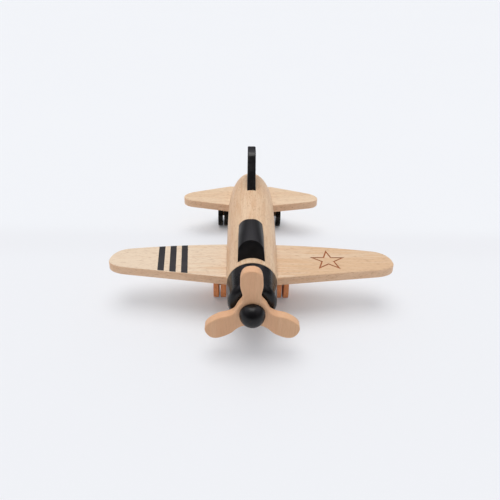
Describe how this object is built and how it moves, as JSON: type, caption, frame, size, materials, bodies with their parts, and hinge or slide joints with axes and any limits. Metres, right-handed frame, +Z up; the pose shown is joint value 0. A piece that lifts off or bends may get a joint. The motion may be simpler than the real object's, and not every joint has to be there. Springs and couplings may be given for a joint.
{
  "type": "wooden toy monoplane",
  "caption": "Wooden push-along toy monoplane with a turned body, plank wing and tailplane, a spinning propeller and disc wheels rolling on dowel axles.",
  "frame": {"origin": "on the floor under the wheels, at half the span and half the length", "axes": "+Z up, +Y towards the tail, +X towards the pilot's left wing tip"},
  "size_m": [0.27, 0.2682, 0.1029],
  "materials": {
    "natural_beech": "fine sanded, thin clear oil",
    "black_paint": "satin black paint on wood"
  },
  "bodies": {
    "airframe": {"fuselage": "natural_beech", "nose_cowl": "black_paint", "canopy": "black_paint", "main_wing": "natural_beech", "tailplane": "natural_beech", "tail_fin": "black_paint", "front_axle_block": "natural_beech", "rear_axle_block": "natural_beech", "canopy_pin_front": "natural_beech", "canopy_pin_rear": "natural_beech", "front_block_pin_fore": "natural_beech", "front_block_pin_aft": "natural_beech", "rear_block_pin_fore": "natural_beech", "rear_block_pin_aft": "natural_beech", "propeller_shaft": "natural_beech", "propeller_washer": "natural_beech", "spinner": "black_paint"},
    "propeller": {"propeller": "natural_beech"},
    "front_wheelset": {"front_axle": "natural_beech", "front_wheel_left_inner": "natural_beech", "front_wheel_left_outer": "natural_beech", "front_wheel_right_inner": "natural_beech", "front_wheel_right_outer": "natural_beech"},
    "rear_wheelset": {"rear_axle": "natural_beech", "rear_wheel_left_inner": "black_paint", "rear_wheel_left_outer": "black_paint", "rear_wheel_right_inner": "black_paint", "rear_wheel_right_outer": "black_paint"}
  },
  "joints": [
    {"name": "propeller_spin", "type": "hinge", "parent": "airframe", "child": "propeller", "pos_m": [0, -0.1174, 0.047], "axis": [0, 1, 0], "continuous": true},
    {"name": "front_wheels_spin", "type": "hinge", "parent": "airframe", "child": "front_wheelset", "pos_m": [0, -0.0329, 0.015], "axis": [1, 0, 0], "continuous": true},
    {"name": "rear_wheels_spin", "type": "hinge", "parent": "airframe", "child": "rear_wheelset", "pos_m": [0, 0.1081, 0.015], "axis": [1, 0, 0], "continuous": true}
  ]
}
